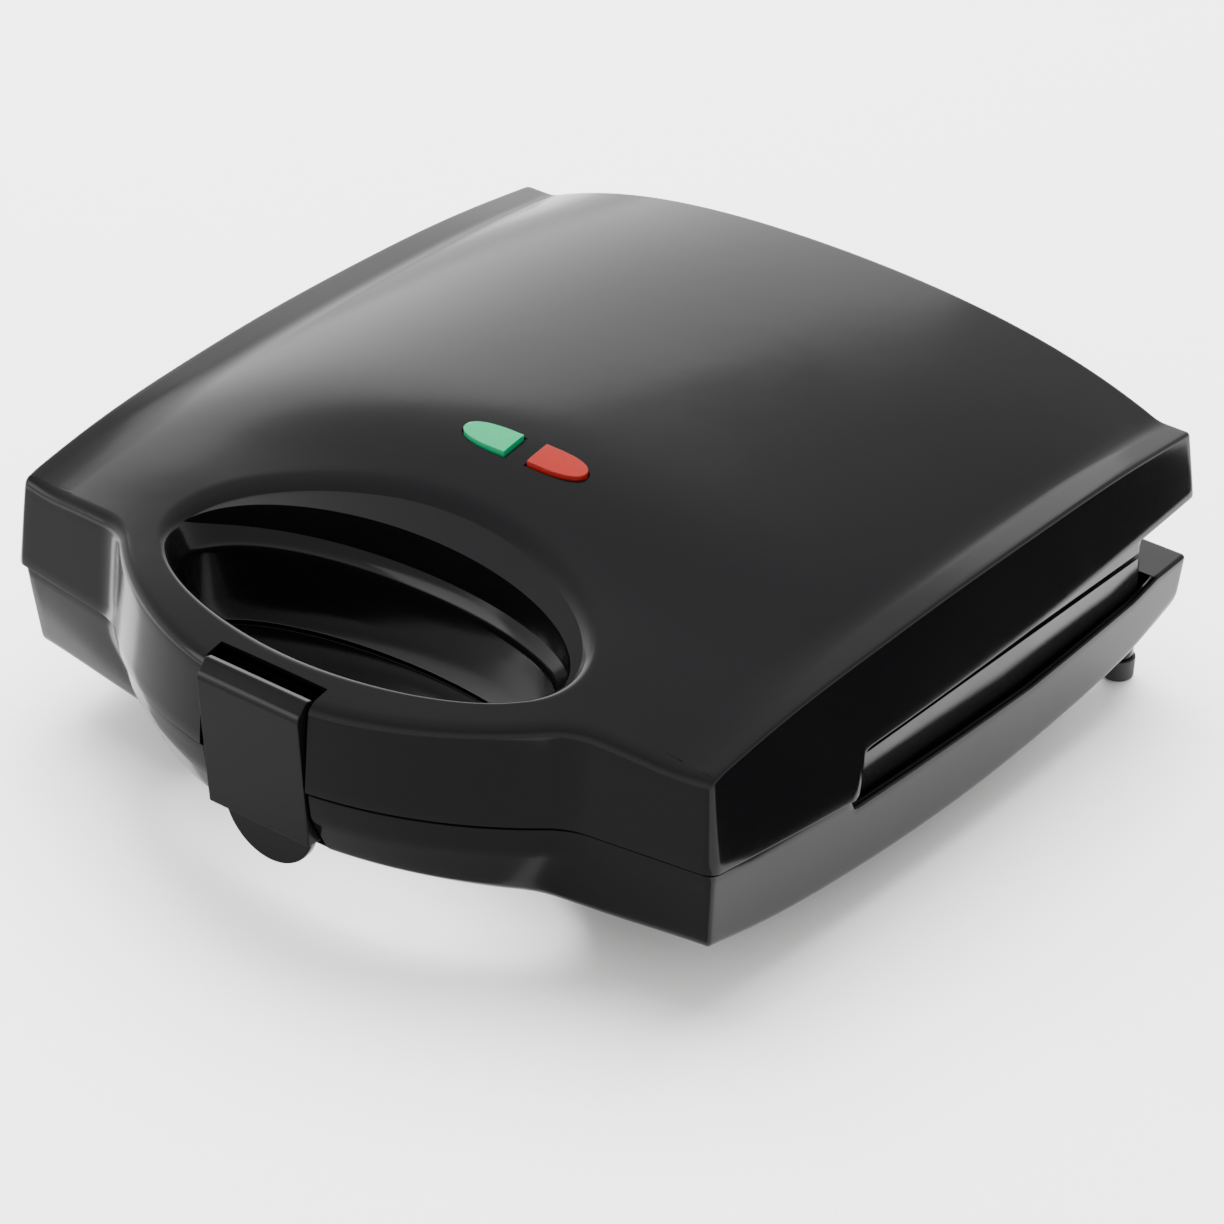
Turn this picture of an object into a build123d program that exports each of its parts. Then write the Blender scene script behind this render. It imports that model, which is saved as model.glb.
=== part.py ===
from build123d import *
import os
from math import cos, radians, sin, sqrt, tan

# Clam-shell donut maker: a hinged lid over a base, each holding a heated plate with ring moulds.
# Frame: X to the right, Y to the back (hinge side), Z up. The origin is on the table, below the
# middle of the object's length and width. Millimetres.

os.makedirs("parts", exist_ok=True)

# ---- plan of the casing ----
corner_half_width = 117.7     # half width at the body's corners, at the joint line
side_bulge = 2.6              # how far the sides bow out between the corners
body_rear = 124.0             # rear wall at the joint line
shoulder_front = -88.5        # front corners of the body
shoulder_slope = tan(radians(8))
nose_tip = -125.5             # front of the handle
nose_radius = 109.0
nose_blend = 17.0             # concave blend between handle and shoulder
corner_radius = 4.8
wall = 2.4
lid_draft = 0.098             # how far the lid's walls lean in for each millimetre up
base_draft = 0.104
base_step_in = 2.2            # the base is this much smaller than the lid at the joint
joint_level = 48.0            # height of the split between the two mould plates
joint_gap = 0.8
far = 140.0                   # beyond every side of the object, for blocks that only cut
above = 110.0                 # beyond its top

# ---- handle opening ----
grip_middle = -77.6           # centre of the opening's upper rim
grip_half_x = 65.6
grip_half_y = 32.1
grip_rim_height = 80.9
throat_middle = -81.0         # centre of the straight throat below the flare
throat_half_x = 59.0
throat_half_y = 24.0
throat_top = 69.5

# ---- latch ----
clip_half_width = 16.8
notch_half_width = 17.6
notch_rear = -113.5
latch_pivot_y = -118.0
latch_pivot_z = 68.0
latch_pin_radius = 1.5
latch_pin_end = 19.0

# ---- hinge ----
hinge_y = 119.0
hinge_z = 49.5
hinge_pin_radius = 2.0
knuckle_radius = 5.0
lid_knuckle = (64.4, 73.6)    # inner and outer face of the lid's knuckle, each side
base_knuckles = ((58.0, 64.0), (74.0, 80.0))
running_clearance = 0.05

# ---- mould plates ----
plate_width = 196.0
plate_depth = 142.0
plate_middle = 23.4
plate_thickness = 3.0
plate_gap = 0.6               # between the two closed plates
ring_radius = 24.0            # outer radius of a donut mould
ring_pitch = 50.5
core_radius = 6.5             # central core of a mould
mould_depth = 11.0
row_step = ring_pitch * sin(radians(60))

# ---- frames round the plates ----
frame_half_width = 111.5
frame_front = -51.0
frame_rear = 104.5
frame_wall = 2.2
deck_level = 42.3             # underside of the frame's deck; the plate's flange rests on its top
frame_foot = 31.2
plate_face = joint_level - plate_gap / 2
flange_under = plate_face - plate_thickness
shield_level = 24.0           # top of the heat shield below the plate's bosses
shield_sheet = 0.8
shield_width = 190.0
shield_depth = 132.0
element_level = 29.7
element_radius = 3.2
element_ring = 47.0           # radius of the heater's horseshoe
heater_gap_angle = 112.0      # where the horseshoe starts, anticlockwise from +X
fit_gap = 0.3

# ---- cord gland ----
gland_z = 32.0
gland_bore = 3.4
gland_neck_radius = 5.0
gland_pad_radius = 7.0
pad_front = 116.5
pad_rear = 121.4
terminal_y = 110.9

donut_places = [(x, plate_middle) for x in (-ring_pitch, 0, ring_pitch)]
donut_places += [(x, plate_middle + y) for x in (-ring_pitch / 2, ring_pitch / 2)
                 for y in (-row_step, row_step)]
plate_screw_places = [(x, plate_middle + y) for x in (-86, 86) for y in (-58, 58)]
frame_screw_places = [(x, y) for x in (-101.4, 101.4) for y in (-31, 89)]
foot_places = [(-99.5, 114), (99.5, 114), (-72, -30), (72, -30)]
foot_height = 6.5
foot_boss_radius = 3.9
foot_hole_radius = 1.6
frame_boss_radius = 3.2
thread_radius = 1.45          # core of the thread of a frame screw


def plan_outline(level, inset, nose_pull=0.0):
    """Casing outline at a height, moved in by inset; nose_pull also draws the handle's front back."""
    half = corner_half_width - inset
    rear = body_rear - inset
    front = shoulder_front + inset
    radius = nose_radius - inset
    centre_y = nose_tip + nose_radius + nose_pull
    rise = front - shoulder_slope * half - centre_y
    square = 1 + shoulder_slope ** 2
    root = sqrt((rise * shoulder_slope) ** 2 - square * (rise ** 2 - radius ** 2))
    meet_x = (root - rise * shoulder_slope) / square
    meet_y = front - shoulder_slope * (half - meet_x)
    middle = (front + rear) / 2
    with BuildSketch(Plane.XY.offset(level)) as outline:
        with BuildLine():
            Line((meet_x, meet_y), (half, front))
            ThreePointArc((half, front), (half + side_bulge, middle), (half, rear))
            Line((half, rear), (-half, rear))
            ThreePointArc((-half, rear), (-half - side_bulge, middle), (-half, front))
            Line((-half, front), (-meet_x, meet_y))
            ThreePointArc((-meet_x, meet_y), (0, centre_y - radius), (meet_x, meet_y))
        make_face()
        inner = outline.vertices().filter_by(lambda v: abs(abs(v.X) - meet_x) < 0.1)
        fillet(inner, nose_blend + inset)
        outer = outline.vertices().filter_by(lambda v: abs(abs(v.X) - half) < 0.1)
        fillet(outer, max(corner_radius - inset, 0.6))
    return outline.sketch


def walls(levels, extra=0.0):
    """Solid between outlines, given as (height, inset, nose_pull); extra moves every outline in."""
    with BuildPart() as block:
        for level, inset, pull in levels:
            add(plan_outline(level, inset + extra, pull))
        loft(ruled=True)
    return block.part


def crown(stations, lift, outer_level):
    """Loft over the crowned top or belly: (y, height at the side strips, height at the middle)."""
    crease = 104.0                                           # where the crown meets the flat side strip
    reach = 135.0
    near, near_share = 81, 0.47                              # the crown's height at two places between
    inner, inner_share = 50, 0.815
    with BuildPart() as block:
        for y, side, middle in stations:
            bulge = middle - side
            with BuildSketch(Plane.XZ.offset(-y)):
                with BuildLine():
                    Polyline((-crease, side + lift), (-reach, side + lift), (-reach, outer_level),
                             (reach, outer_level), (reach, side + lift), (crease, side + lift))
                    Spline((crease, side + lift), (near, side + lift + near_share * bulge),
                           (inner, side + lift + inner_share * bulge), (0, middle + lift),
                           (-inner, side + lift + inner_share * bulge),
                           (-near, side + lift + near_share * bulge), (-crease, side + lift))
                make_face()
        loft()
    return block.part


def side_slab(points):
    """Solid with the given side view, right across the object."""
    with BuildPart() as slab:
        with BuildSketch(Plane.YZ):
            Polygon(*points, align=None)
        extrude(amount=far, both=True)
    return slab.part


def throat(grow, bottom, top=above):
    """The handle opening: straight throat with a flare above it."""
    flare_x = (grip_half_x - throat_half_x) / (grip_rim_height - throat_top)
    flare_y = (grip_half_y - throat_half_y) / (grip_rim_height - throat_top)
    lean = (grip_middle - throat_middle) / (grip_rim_height - throat_top)
    rise = top - throat_top
    with BuildPart() as hole:
        with BuildSketch(Plane.XY.offset(bottom)):
            with Locations((0, throat_middle)):
                Ellipse(throat_half_x + grow, throat_half_y + grow)
        extrude(amount=throat_top - bottom)
        with BuildSketch(Plane.XY.offset(throat_top)):
            with Locations((0, throat_middle)):
                Ellipse(throat_half_x + grow, throat_half_y + grow)
        with BuildSketch(Plane.XY.offset(top)):
            with Locations((0, throat_middle + lean * rise)):
                Ellipse(throat_half_x + grow + flare_x * rise, throat_half_y + grow + flare_y * rise)
        loft(ruled=True)
    return hole.part


def across(x_from, x_to, y, z, radius):
    """Round bar along X."""
    with BuildPart() as bar:
        with BuildSketch(Plane.YZ.offset(x_from)):
            with Locations((y, z)):
                Circle(radius)
        extrude(amount=x_to - x_from)
    return bar.part


def along(place, y_from, y_to, radius):
    """Round bar along Y at the given (x, z)."""
    with BuildPart() as bar:
        with BuildSketch(Plane.XZ.offset(-y_to)):
            with Locations(place):
                Circle(radius)
        extrude(amount=y_to - y_from)
    return bar.part


def block(x_range, y_range, z_range):
    """Plain rectangular block between the given limits, used to cut or to fill."""
    with BuildPart() as body:
        with BuildSketch(Plane.XY.offset(z_range[0])):
            with Locations(((x_range[0] + x_range[1]) / 2, (y_range[0] + y_range[1]) / 2)):
                Rectangle(x_range[1] - x_range[0], y_range[1] - y_range[0])
        extrude(amount=z_range[1] - z_range[0])
    return body.part


def posts(places, bottom, top, radius):
    """Upright round posts at the given places."""
    with BuildPart() as group:
        with BuildSketch(Plane.XY.offset(bottom)):
            with Locations(*places):
                Circle(radius)
        extrude(amount=top - bottom)
    return group.part


# ---- shared surfaces of the casing ----
lid_levels = [(40, 0.0, 0.0), (104, 64 * lid_draft, 0.0)]
base_levels = [(z, base_step_in + (joint_level - z) * base_draft, pull)
               for z, pull in ((53, 0.0), (41, 0.0), (4, 14.0))]
lid_stations = [(-134, 66.5, 71.0), (-110, 70.0, 76.1), (-86, 73.8, 79.6), (-67, 77.0, 82.5),
                (-45, 79.6, 86.2), (-21, 81.1, 92.0), (6, 82.2, 94.6), (48, 82.4, 95.9),
                (93, 80.9, 96.4), (122, 78.2, 96.0), (140, 76.5, 95.4)]
belly_stations = [(-134, 33, 34), (-109, 27, 27), (-86, 24, 21), (-67, 20.5, 16), (-32, 16.5, 10),
                  (18, 14.5, 7.5), (68, 16.5, 8), (103, 21, 12), (122, 26, 19), (140, 32, 27)]
joint_line = [(-134, 49.9), (-88, 48.2), (-32, 43.2)]
window_line = [(-31.2, 46.0), (-28.5, 54.2), (-27, 55.3), (46, 56.3), (134, 59.5)]
rim_line = [(-31, 38.4), (46, 36.4), (95, 38.6), (106, 40.7), (134, 40.7)]

lid_outer = walls(lid_levels)
lid_inner = walls(lid_levels, wall)
lid_crown = crown(lid_stations, 0.0, 20)
lid_crown_inner = crown(lid_stations, -wall, 20)
lid_side_view = side_slab([(-134, 120)] + joint_line + window_line + [(134, 120)])

base_outer = walls(base_levels)
base_inner = walls(base_levels, wall)
base_belly = crown(belly_stations, 0.0, 80)
base_belly_inner = crown(belly_stations, wall, 80)
base_joint = [(y, z - joint_gap) for y, z in joint_line]
rear_undercut = [(134, 30), (124, 28), (116, 20), (100, 0)]
base_side_view = side_slab([(-134, 0)] + base_joint + rim_line + rear_undercut)

# ---- outline of the two lenses in the lid's dome, each with a flat end towards the other ----
lens_inner_end = 3.8
lens_bend = 7.8                # where the straight sides end
lens_length = 16.4
lens_width = 8.2
lens_y = -17.0
lens_clearance = 0.15


def lens_profile(level, side, grow):
    """Outline of a lens: flat towards the middle, half an ellipse at the outer end."""
    flat = side * (lens_inner_end - grow)
    bend = side * lens_bend
    tip = side * (lens_inner_end + lens_length + grow)
    half = lens_width / 2 + grow
    with BuildSketch(Plane.XY.offset(level)) as outline:
        with BuildLine():
            Line((flat, lens_y - half), (bend, lens_y - half))
            Spline((bend, lens_y - half), (tip, lens_y), (bend, lens_y + half),
                   tangents=[(side, 0), (-side, 0)])
            Line((bend, lens_y + half), (flat, lens_y + half))
            Line((flat, lens_y + half), (flat, lens_y - half))
        make_face()
    return outline.sketch


def lens(side, grow, bottom, top):
    """Upright block with a lens outline."""
    with BuildPart() as body:
        add(lens_profile(bottom, side, grow))
        extrude(amount=top - bottom)
    return body.part


# ---- upper cover: the lid's glossy moulding, with handle ring, latch notch and hinge knuckles ----
knuckle_root = 66.0           # top of the web that joins a lid knuckle to the cover
boss_top = 80.0
with BuildPart() as upper_cover:
    add(lid_outer)
    add(lid_crown, mode=Mode.INTERSECT)
    add(lid_side_view, mode=Mode.INTERSECT)
    hollow = (lid_inner & lid_crown_inner) - throat(wall, 20)
    notch_outer = notch_half_width + wall
    hollow -= block((-notch_outer, notch_outer), (-far, notch_rear + wall), (30, above))
    add(hollow, mode=Mode.SUBTRACT)
    for side in (-1, 1):
        inner, outer = sorted((side * lid_knuckle[0], side * lid_knuckle[1]))
        add(block((inner, outer), (hinge_y - knuckle_radius, hinge_y + 2), (hinge_z, knuckle_root)))
        add(across(inner, outer, hinge_y, hinge_z, knuckle_radius))
    boss_foot = 2 * joint_level - deck_level
    add(posts(frame_screw_places, boss_foot, boss_top, frame_boss_radius) & lid_crown_inner)
    add(throat(0, 20), mode=Mode.SUBTRACT)
    add(block((-notch_half_width, notch_half_width), (-far, notch_rear), (30, above)), mode=Mode.SUBTRACT)
    add(across(-84, 84, hinge_y, hinge_z, hinge_pin_radius + running_clearance), mode=Mode.SUBTRACT)
    add(across(-latch_pin_end, latch_pin_end, latch_pivot_y, latch_pivot_z, latch_pin_radius),
        mode=Mode.SUBTRACT)
    add(posts(frame_screw_places, 50, 66, thread_radius), mode=Mode.SUBTRACT)
    for side in (-1, 1):
        add(lens(side, lens_clearance, 80, above), mode=Mode.SUBTRACT)
upper_cover.part.label = "upper_cover"
export_step(upper_cover.part, "parts/upper_cover.step")

# ---- lenses, each with a flange that bears on the inside of the dome ----
lens_proud = 1.2
lens_foot = 86.0
flange_foot = 87.0
flange_width = 1.6
lens_top_surface = crown(lid_stations, lens_proud, 20)
lens_flange_top = crown(lid_stations, -wall - 0.1, 20)

with BuildPart() as indicator_lens_green:
    add(lens(-1, 0, lens_foot, above) & lens_top_surface)
    add(lens(-1, flange_width, flange_foot, above) & lens_flange_top)
indicator_lens_green.part.label = "indicator_lens_green"
export_step(indicator_lens_green.part, "parts/indicator_lens_green.step")

with BuildPart() as indicator_lens_red:
    add(lens(1, 0, lens_foot, above) & lens_top_surface)
    add(lens(1, flange_width, flange_foot, above) & lens_flange_top)
indicator_lens_red.part.label = "indicator_lens_red"
export_step(indicator_lens_red.part, "parts/indicator_lens_red.step")

# ---- neon lamps under the lenses, in a holder that clips to the heat shield ----
lamp_x = 11.0
lamp_radius = 2.6
lamp_level = 82.0
lamp_half_length = 6.0
lid_shield_top = 2 * joint_level - shield_level + shield_sheet
with BuildPart() as indicator_lamps:
    for side in (-1, 1):
        add(across(side * lamp_x - lamp_half_length, side * lamp_x + lamp_half_length, lens_y, lamp_level,
                   lamp_radius))
indicator_lamps.part.label = "indicator_lamps"
export_step(indicator_lamps.part, "parts/indicator_lamps.step")

with BuildPart() as lamp_holder:
    add(block((-20, 20), (lens_y - 5, lens_y + 5), (lid_shield_top, lamp_level)))
    for side in (-1, 1):
        add(across(side * lamp_x - lamp_half_length - 0.2, side * lamp_x + lamp_half_length + 0.2, lens_y,
                   lamp_level, lamp_radius + running_clearance), mode=Mode.SUBTRACT)
        add(block((side * lamp_x - 4, side * lamp_x + 4), (lens_y - 3.5, lens_y + 3.5),
                  (lid_shield_top + 1, lamp_level - 2)), mode=Mode.SUBTRACT)
lamp_holder.part.label = "lamp_holder"
export_step(lamp_holder.part, "parts/lamp_holder.step")

# ---- liners that close the underside of the lid's handle and the top of the base's handle ----
liner_gap = 0.3
liner_rear = -51.6


def handle_liner(line, low, high, levels):
    """Thin plate that follows the joint line between the outer wall and the throat."""
    band = [(y, z + low) for y, z in line] + [(y, z + high) for y, z in reversed(line)]
    with BuildPart() as plate:
        add(walls(levels, wall + liner_gap))
        add(side_slab(band), mode=Mode.INTERSECT)
        add(block((-far, far), (-far, liner_rear), (0, above)), mode=Mode.INTERSECT)
        add(throat(wall + liner_gap, 10), mode=Mode.SUBTRACT)
        keep_out = notch_half_width + wall + liner_gap
        add(block((-keep_out, keep_out), (-far, notch_rear + wall + liner_gap), (0, above)),
            mode=Mode.SUBTRACT)
    return plate.part


with BuildPart() as upper_handle_liner:
    add(handle_liner(joint_line, 0.6, 2.6, lid_levels))
upper_handle_liner.part.label = "upper_handle_liner"
export_step(upper_handle_liner.part, "parts/upper_handle_liner.step")

with BuildPart() as lower_handle_liner:
    add(handle_liner(base_joint, -2.6, -0.6, base_levels))
lower_handle_liner.part.label = "lower_handle_liner"
export_step(lower_handle_liner.part, "parts/lower_handle_liner.step")

# ---- lower cover: the base's glossy moulding, with shelf, side troughs, handle ring and knuckles ----
trough_depth = 4.0
trough_rear = 106.0
shelf_under = rim_line[-1][1] - 2.6
deck_under = 30.4             # underside of the trough's floor
with BuildPart() as lower_cover:
    add(base_outer)
    add(base_belly, mode=Mode.INTERSECT)
    add(base_side_view, mode=Mode.INTERSECT)
    under_deck = [(-134, 0), (-134, 60), (-37, 60), (-37, deck_under), (95, deck_under),
                  (trough_rear - 3, deck_under + 0.6), (trough_rear - 3, shelf_under), (134, shelf_under),
                  (134, 34), (120, 30), (112, 20), (100, 3)]
    hollow = (base_inner & base_belly_inner & side_slab(under_deck)) - throat(wall, -10)
    hollow -= block((-notch_outer, notch_outer), (-far, notch_rear + wall), (0, above))
    add(hollow, mode=Mode.SUBTRACT)
    add(block((-frame_half_width - fit_gap, frame_half_width + fit_gap),
              (frame_front - fit_gap, frame_rear + fit_gap), (20, 70)), mode=Mode.SUBTRACT)
    trough_line = [(y, z - trough_depth) for y, z in rim_line[:3]]
    trough = side_slab([(-31, 60), trough_line[0], trough_line[1], (trough_rear, trough_line[2][1]),
                        (trough_rear, 60)])
    add(trough & base_inner, mode=Mode.SUBTRACT)
    for x in base_knuckles:
        for side in (-1, 1):
            inner, outer = sorted((side * x[0], side * x[1]))
            add(block((inner, outer), (hinge_y - knuckle_radius, hinge_y + 4.4), (shelf_under, hinge_z)))
            add(across(inner, outer, hinge_y, hinge_z, knuckle_radius))
    add(posts(foot_places[:2], foot_height, 29, foot_boss_radius) & base_outer)
    add(posts(foot_places[2:], foot_height, 21, foot_boss_radius))
    add(posts(frame_screw_places, 10, deck_level, frame_boss_radius) & base_belly)
    add(throat(0, -10), mode=Mode.SUBTRACT)
    add(block((-notch_half_width, notch_half_width), (-far, notch_rear), (0, above)), mode=Mode.SUBTRACT)
    add(across(-84, 84, hinge_y, hinge_z, hinge_pin_radius), mode=Mode.SUBTRACT)
    add(posts(frame_screw_places, 30, 50, thread_radius), mode=Mode.SUBTRACT)
    add(posts(foot_places, 0, 15, foot_hole_radius), mode=Mode.SUBTRACT)
    add(along((0, gland_z), pad_front, pad_rear, gland_pad_radius))
    add(along((0, gland_z), 100, 130, gland_neck_radius), mode=Mode.SUBTRACT)
lower_cover.part.label = "lower_cover"
export_step(lower_cover.part, "parts/lower_cover.step")

# ---- the hot side of the base, which the lid repeats upside down ----
flip = Plane.XY.offset(joint_level)


def heated_frame():
    """Moulded frame: a deck that carries the plate, with a skirt down into the cover."""
    frame_middle = (frame_front + frame_rear) / 2
    frame_depth = frame_rear - frame_front
    with BuildPart() as frame:
        with BuildSketch(Plane.XY.offset(frame_foot)):
            with Locations((0, frame_middle)):
                RectangleRounded(2 * frame_half_width, frame_depth, 3)
        extrude(amount=joint_level - joint_gap - frame_foot)
        with BuildSketch(Plane.XY.offset(frame_foot)):
            with Locations((0, frame_middle)):
                RectangleRounded(2 * (frame_half_width - frame_wall), frame_depth - 2 * frame_wall, 1)
        extrude(amount=deck_level - frame_foot, mode=Mode.SUBTRACT)
        with BuildSketch(Plane.XY.offset(flange_under)):
            with Locations((0, plate_middle)):
                RectangleRounded(plate_width + 2 * fit_gap, plate_depth + 2 * fit_gap, 4)
        extrude(amount=20, mode=Mode.SUBTRACT)
        with BuildSketch(Plane.XY.offset(frame_foot)):
            with Locations((0, plate_middle)):
                RectangleRounded(plate_width - 10, plate_depth - 0.6, 4)
        extrude(amount=30, mode=Mode.SUBTRACT)
        add(posts(frame_screw_places, 40, 60, 1.6), mode=Mode.SUBTRACT)
        add(posts(frame_screw_places, flange_under + 0.6, 60, 2.9), mode=Mode.SUBTRACT)
    return frame.part


def mould_plate():
    """Cast plate with seven ring moulds: wells below the flange, each with a core in the middle."""
    floor_level = plate_face - mould_depth
    with BuildPart() as plate:
        with BuildSketch(Plane.XY.offset(flange_under)):
            with Locations((0, plate_middle)):
                RectangleRounded(plate_width, plate_depth, 4)
        extrude(amount=plate_thickness)
        with BuildSketch(Plane.XY.offset(plate_face)):
            with Locations(*donut_places):
                Circle(ring_radius + 2.3)
        extrude(amount=-(mould_depth + 3.5), taper=4)
        with BuildSketch(Plane.XY.offset(plate_face)):
            with Locations(*donut_places):
                Circle(ring_radius)
                Circle(core_radius, mode=Mode.SUBTRACT)
        extrude(amount=-mould_depth, taper=6, mode=Mode.SUBTRACT)
        rings = plate.edges().filter_by(GeomType.CIRCLE)
        fillet(rings.filter_by_position(Axis.Z, floor_level - 0.1, floor_level + 0.1), 5.5)
        add(posts(plate_screw_places, shield_level, flange_under + 1, 4.0))
        add(posts(plate_screw_places, shield_level - 1, shield_level + 12, 1.55), mode=Mode.SUBTRACT)
    return plate.part


def heater():
    """Tubular heater: a horseshoe under the wells, open to the back."""
    start = heater_gap_angle
    with BuildPart() as tube:
        with BuildLine():
            CenterArc((0, plate_middle, element_level), element_ring, start, 540 - 2 * start)
        with BuildSketch(Plane(origin=(element_ring * cos(radians(start)),
                                       plate_middle + element_ring * sin(radians(start)), element_level),
                               z_dir=(-sin(radians(start)), cos(radians(start)), 0))):
            Circle(element_radius)
        sweep()
    return tube.part


def heat_shield():
    """Bright sheet below the heater, turned down at its edges."""
    with BuildPart() as sheet:
        with BuildSketch(Plane.XY.offset(shield_level - shield_sheet)):
            with Locations((0, plate_middle)):
                RectangleRounded(shield_width, shield_depth, 6)
            with Locations(*plate_screw_places):
                Circle(1.7, mode=Mode.SUBTRACT)
        extrude(amount=shield_sheet)
        with BuildSketch(Plane.XY.offset(shield_level - shield_sheet)):
            with Locations((0, plate_middle)):
                RectangleRounded(shield_width, shield_depth, 6)
                RectangleRounded(shield_width - 2 * shield_sheet, shield_depth - 2 * shield_sheet, 5.2,
                                 mode=Mode.SUBTRACT)
        extrude(amount=5.5)
    return sheet.part


def screws(places, head_level, length, shank, head_radius):
    """Pan-head screws pointing up from the given level of the heads' undersides, with cross slots."""
    head_top = head_level - 1.9
    with BuildPart() as group:
        add(posts(places, head_level, head_level + length, shank))
        add(posts(places, head_top, head_level, head_radius))
        rims = group.edges().filter_by(GeomType.CIRCLE)
        fillet(rims.filter_by_position(Axis.Z, head_top - 0.1, head_top + 0.1), 0.6)
        with BuildSketch(Plane.XY.offset(head_top - 0.1)):
            with Locations(*places):
                Rectangle(0.6, 3)
                Rectangle(3, 0.6)
        extrude(amount=1.0, mode=Mode.SUBTRACT)
    return group.part


def heater_ends():
    """The two cold pins that leave the horseshoe's ends towards the back."""
    end_angle = radians(heater_gap_angle)
    x = element_ring * cos(end_angle)
    y = plate_middle + element_ring * sin(end_angle)
    with BuildPart() as pins:
        for side in (-1, 1):
            add(along((side * x, element_level), y + 3.5, 84, 1.4))
            add(along((side * x, element_level), y + 3.5, y + 10, 2.8))
    return pins.part


hot_parts = {
    "frame": heated_frame(),
    "plate": mould_plate(),
    "heating_element": heater(),
    "heater_terminals": heater_ends(),
    "heat_shield": heat_shield(),
    "plate_screws": screws(plate_screw_places, shield_level - shield_sheet, 9.0, 1.5, 3.0),
}
for name, piece in hot_parts.items():
    piece.label = "lower_" + name
    export_step(piece, "parts/lower_" + name + ".step")
    turned = piece.mirror(flip)
    turned.label = "upper_" + name
    export_step(turned, "parts/upper_" + name + ".step")

# ---- screws that hold the frames to the covers, driven from the plate side ----
head_seat = flange_under + 0.6
upper_frame_screws = screws(frame_screw_places, 2 * joint_level - head_seat, 9.0, 1.4, 2.6)
upper_frame_screws.label = "upper_frame_screws"
export_step(upper_frame_screws, "parts/upper_frame_screws.step")
lower_frame_screws = upper_frame_screws.mirror(flip)
lower_frame_screws.label = "lower_frame_screws"
export_step(lower_frame_screws, "parts/lower_frame_screws.step")

# ---- thermostat and thermal fuse, clamped to the back of the lid's plate ----
plate_back = 2 * joint_level - flange_under
sensor_y = 66.0
thermostat_x = -72.0
thermostat_height = 6.5
with BuildPart() as thermostat:
    with BuildSketch(Plane.XY.offset(plate_back)):
        with Locations((thermostat_x, sensor_y)):
            Circle(8.6)
    extrude(amount=thermostat_height)
    chamfer(thermostat.edges().group_by(Axis.Z)[-1], 0.8)
    with BuildSketch(Plane.XY.offset(plate_back + thermostat_height)):
        with Locations((thermostat_x - 4, sensor_y), (thermostat_x + 4, sensor_y)):
            Rectangle(0.8, 4.8)
    extrude(amount=6.5)
thermostat.part.label = "thermostat"
export_step(thermostat.part, "parts/thermostat.step")

fuse_axis = plate_back + 2.6
fuse_radius = 2.2
with BuildPart() as thermal_fuse:
    add(across(65, 77, sensor_y, fuse_axis, fuse_radius))
    add(across(60, 82, sensor_y, fuse_axis, 0.5))
thermal_fuse.part.label = "thermal_fuse"
export_step(thermal_fuse.part, "parts/thermal_fuse.step")

with BuildPart() as fuse_clip:
    with BuildSketch(Plane.YZ.offset(68)):
        with Locations((sensor_y, fuse_axis)):
            Circle(fuse_radius + 0.9)
        with Locations((sensor_y + 5.5, plate_back + 0.5)):
            Rectangle(12, 1)
        with Locations((sensor_y, fuse_axis)):
            Circle(fuse_radius + 0.1, mode=Mode.SUBTRACT)
    extrude(amount=6)
    add(block((60, 84), (50, 90), (plate_back, plate_back + 12)), mode=Mode.INTERSECT)
fuse_clip.part.label = "fuse_clip"
export_step(fuse_clip.part, "parts/fuse_clip.step")

# ---- latch: a glossy clip that hangs from a steel pin in the lid's handle ----
clip_front = -124.0           # front face at its top; it leans back towards its foot
clip_foot = (-121.5, 32.5)
clip_nose_y = -115.8          # the nose that hooks under the base's handle
clip_back_y = -119.4
clip_head_y = -118.2
tab_radius = 15.0             # finger tab, half a disc below the clip
with BuildPart() as latch_clip:
    with BuildSketch(Plane.YZ.offset(-clip_half_width)):
        with BuildLine():
            Polyline((clip_front, 71.0), clip_foot, (clip_nose_y, clip_foot[1]), (clip_nose_y, 37.6),
                     (clip_back_y, 41.0), (clip_back_y, 64.0), (clip_head_y, 66.0), (clip_head_y, 74.2),
                     (-120.4, 74.6), (clip_front, 71.0))
        make_face()
    extrude(amount=2 * clip_half_width)
    fillet(latch_clip.edges().filter_by(Axis.X).filter_by_position(Axis.Z, 70, 71.5), 3.0)
    fillet(latch_clip.edges().filter_by(Axis.X).filter_by_position(Axis.Y, -120.6, -120.2), 1.5)
    add(across(-clip_half_width, clip_half_width, latch_pivot_y, latch_pivot_z, 3.0))
    with BuildSketch(Plane.XZ.offset(-clip_nose_y)):
        with Locations((0, 34.8)):
            Circle(tab_radius)
            with Locations((0, tab_radius)):
                Rectangle(3 * tab_radius, 2 * tab_radius, mode=Mode.SUBTRACT)
    extrude(amount=2.2)
    add(across(-20, 20, latch_pivot_y, latch_pivot_z, latch_pin_radius + running_clearance),
        mode=Mode.SUBTRACT)
latch_clip.part.label = "latch_clip"
export_step(latch_clip.part, "parts/latch_clip.step")

latch_pin = across(-latch_pin_end, latch_pin_end, latch_pivot_y, latch_pivot_z, latch_pin_radius)
latch_pin.label = "latch_pin"
export_step(latch_pin, "parts/latch_pin.step")

# ---- hinge pins, pressed into the base's knuckles ----
for name, side in (("left", -1), ("right", 1)):
    with BuildPart() as hinge_pin:
        inner, outer = sorted((side * 57.0, side * 80.6))
        add(across(inner, outer, hinge_y, hinge_z, hinge_pin_radius))
        inner, outer = sorted((side * 80.1, side * 81.6))
        add(across(inner, outer, hinge_y, hinge_z, 3.2))
    hinge_pin.part.label = "hinge_pin_" + name
    export_step(hinge_pin.part, "parts/hinge_pin_" + name + ".step")

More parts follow.
